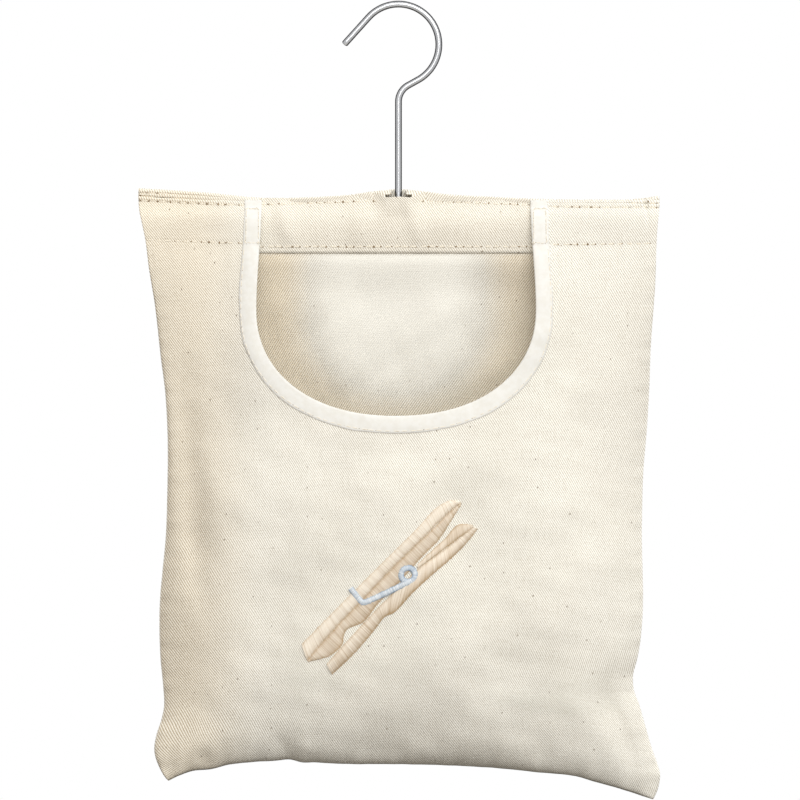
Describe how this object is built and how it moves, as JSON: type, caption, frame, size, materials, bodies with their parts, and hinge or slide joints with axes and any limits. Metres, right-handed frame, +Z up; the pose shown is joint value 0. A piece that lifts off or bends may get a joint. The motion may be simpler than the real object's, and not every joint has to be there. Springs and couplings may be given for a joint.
{
  "type": "peg bag",
  "caption": "Hanging cotton twill bag for clothes pegs, with a bound U-shaped mouth, an embroidered peg and a wire hook that swivels in a hidden wooden bar.",
  "frame": {"origin": "top of the inside of the hook's bow, where the clothes line or rail bears", "axes": "+Z up, the front with the mouth faces -Y, +X to the right as seen from the front"},
  "size_m": [0.3041, 0.0698, 0.4659],
  "materials": {
    "hook_wire": "bright plated wire",
    "washer_steel": "plain zinc plated",
    "bar_wood": "sanded, unvarnished",
    "cotton_twill": "unbleached twill with seed flecks",
    "binding_tape": "plain weave bias tape",
    "sewing_thread": "cotton thread",
    "embroidery_beige": "satin stitch",
    "embroidery_blue": "satin stitch"
  },
  "bodies": {
    "hook": {"hanger_hook": "hook_wire"},
    "bar": {"hanger_bar": "bar_wood", "hook_washer": "washer_steel"},
    "bag": {"back_panel": "cotton_twill", "front_panel": "cotton_twill", "mouth_binding": "binding_tape", "embroidered_peg_upper_leg": "embroidery_beige", "embroidered_peg_lower_leg": "embroidery_beige", "embroidered_peg_spring": "embroidery_blue", "left_side_seam_overlock": "sewing_thread", "right_side_seam_overlock": "sewing_thread", "bottom_seam_overlock": "sewing_thread", "left_shoulder_top_stitching": "sewing_thread", "right_shoulder_top_stitching": "sewing_thread", "left_shoulder_hem_stitching": "sewing_thread", "right_shoulder_hem_stitching": "sewing_thread", "left_binding_tack": "sewing_thread", "right_binding_tack": "sewing_thread", "left_back_top_stitching": "sewing_thread", "right_back_top_stitching": "sewing_thread", "back_hem_stitching": "sewing_thread", "binding_stitching": "sewing_thread"}
  },
  "joints": [
    {"name": "hook_swivel", "type": "hinge", "parent": "hook", "child": "bar", "pos_m": [0, 0, -0.1245], "axis": [0, 0, 1], "continuous": true},
    {"name": "bag_rock", "type": "hinge", "parent": "bar", "child": "bag", "pos_m": [0, 0, -0.1245], "axis": [1, 0, 0], "range_deg": [-6, 6]}
  ]
}
